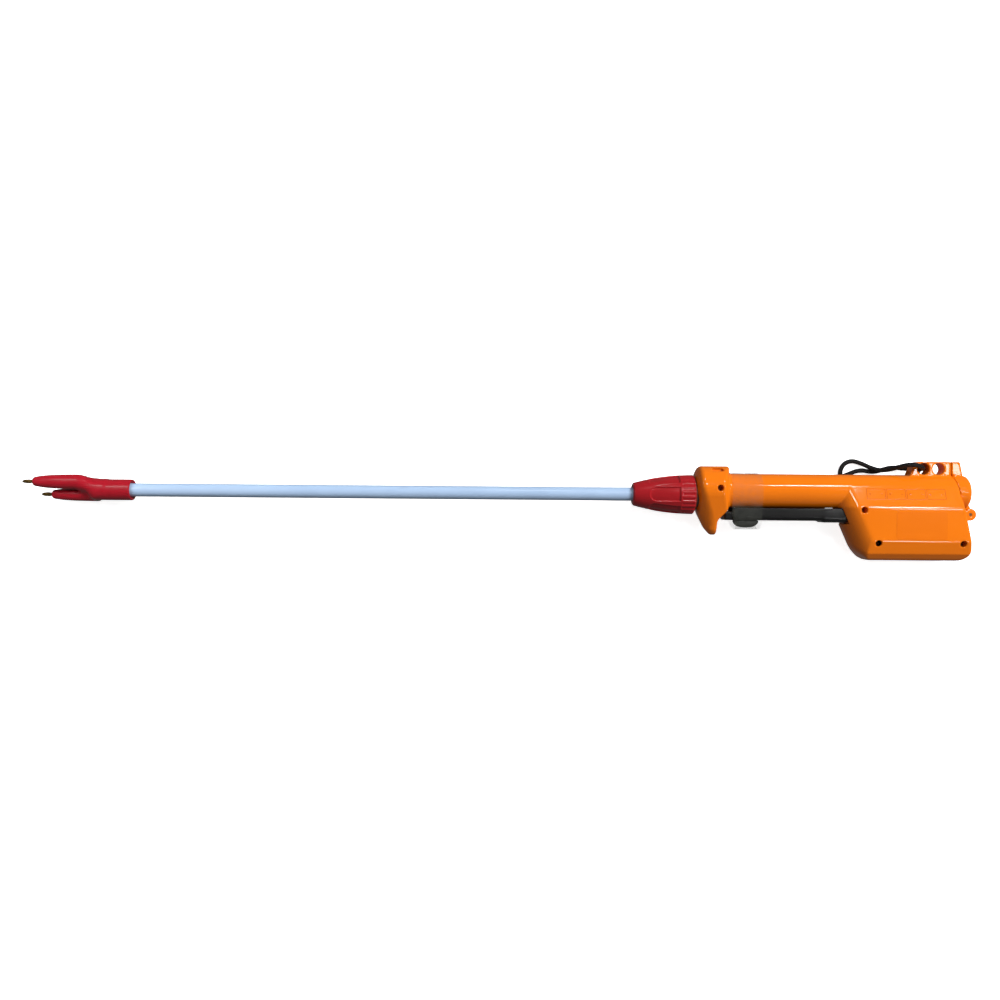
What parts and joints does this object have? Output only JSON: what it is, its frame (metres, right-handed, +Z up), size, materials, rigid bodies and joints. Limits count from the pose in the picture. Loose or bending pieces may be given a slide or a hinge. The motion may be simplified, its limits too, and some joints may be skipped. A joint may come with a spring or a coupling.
{
  "type": "cattle prodder",
  "caption": "Livestock prod with a forked electrode head on a long tube, a collet nut, and an orange guarded handle with a squeeze lever, battery tube, hinged end cap and wrist cord.",
  "frame": {"origin": "centre of the tool's outline seen from above, without the cord, on the floor it lies on", "axes": "+X from the electrodes to the battery cap, along the shaft; +Y to the tool's top, where the strap lug is; +Z up from the floor, out of the tool's left side"},
  "size_m": [0.9938, 0.1066, 0.048],
  "materials": {
    "brass": "dull turned brass",
    "red_plastic": "glossy moulded",
    "dark_red_plastic": "glossy moulded",
    "white_shaft": "smooth pultruded tube",
    "grey_plastic": "moulded",
    "black_plastic": "fine moulded grain",
    "black_rubber": "smooth",
    "orange_plastic": "glossy moulded",
    "steel": "plated",
    "clear_film": "clear shrunk film",
    "copper": "enamelled",
    "board": "lacquered",
    "ferrite": "sintered",
    "blue_plastic": "sleeved",
    "wire": "insulated",
    "cell": "jacketed",
    "cord": "braided"
  },
  "bodies": {
    "handle": {"left_shell": "orange_plastic", "right_shell": "orange_plastic", "housing_screws": "steel", "shaft_socket": "grey_plastic", "collet": "grey_plastic", "dust_seal": "black_rubber", "contact_sleeves": "brass", "film_band": "clear_film", "trigger_pin": "steel", "trigger_spring": "steel", "micro_switch": "grey_plastic", "circuit_board": "board", "board_screws": "steel", "transformer_core": "ferrite", "transformer_coil": "copper", "capacitor": "blue_plastic", "high_voltage_leads": "wire", "battery_lead": "wire", "return_strip": "brass", "front_contact": "brass", "cell_1": "cell", "cell_2": "cell", "cell_3": "cell", "cell_4": "cell", "cap_hinge_pin": "steel", "wrist_cord": "cord", "cord_knot": "cord"},
    "shaft": {"shaft_tube": "white_shaft", "electrode_head": "red_plastic", "electrode_long": "brass", "electrode_short": "brass", "shaft_leads": "copper", "shaft_plug": "grey_plastic"},
    "washer": {"slip_washer": "steel"},
    "nut": {"collet_nut": "dark_red_plastic"},
    "lever": {"trigger_lever": "black_plastic", "trigger_pad": "black_rubber"},
    "plunger": {"switch_plunger": "red_plastic"},
    "cap": {"battery_cap": "orange_plastic", "cap_seal": "black_rubber", "cap_contact": "brass", "cap_spring": "steel"}
  },
  "joints": [
    {"name": "trigger_press", "type": "hinge", "parent": "handle", "child": "lever", "pos_m": [0.3686, -0.00575, 0.024], "axis": [0, 0, -1], "range_deg": [0, 1.5], "stiffness_Nm_per_rad": 4, "springref_deg": -2.86},
    {"name": "switch_press", "type": "slide", "parent": "handle", "child": "plunger", "axis": [0, -1, 0], "range_m": [0, 0.0006]},
    {"name": "nut_advance", "type": "slide", "parent": "handle", "child": "washer", "axis": [-1, 0, 0], "range_m": [0, 0.002]},
    {"name": "nut_turn", "type": "hinge", "parent": "washer", "child": "nut", "pos_m": [0.1756, 0.01525, 0.024], "axis": [-1, 0, 0], "range_deg": [0, 360]},
    {"name": "shaft_slide", "type": "slide", "parent": "handle", "child": "shaft", "axis": [-1, 0, 0], "range_m": [0, 0.075]},
    {"name": "cap_hinge", "type": "hinge", "parent": "handle", "child": "cap", "pos_m": [0.4906, -0.00325, 0.024], "axis": [0, 0, -1], "range_deg": [0, 110], "deforming": ["cap_spring"]}
  ],
  "couplings": [
    {"joint": "switch_press", "follows": "trigger_press", "m_per_rad": 0.0225},
    {"joint": "nut_advance", "follows": "nut_turn", "m_per_rad": 0.000318}
  ]
}
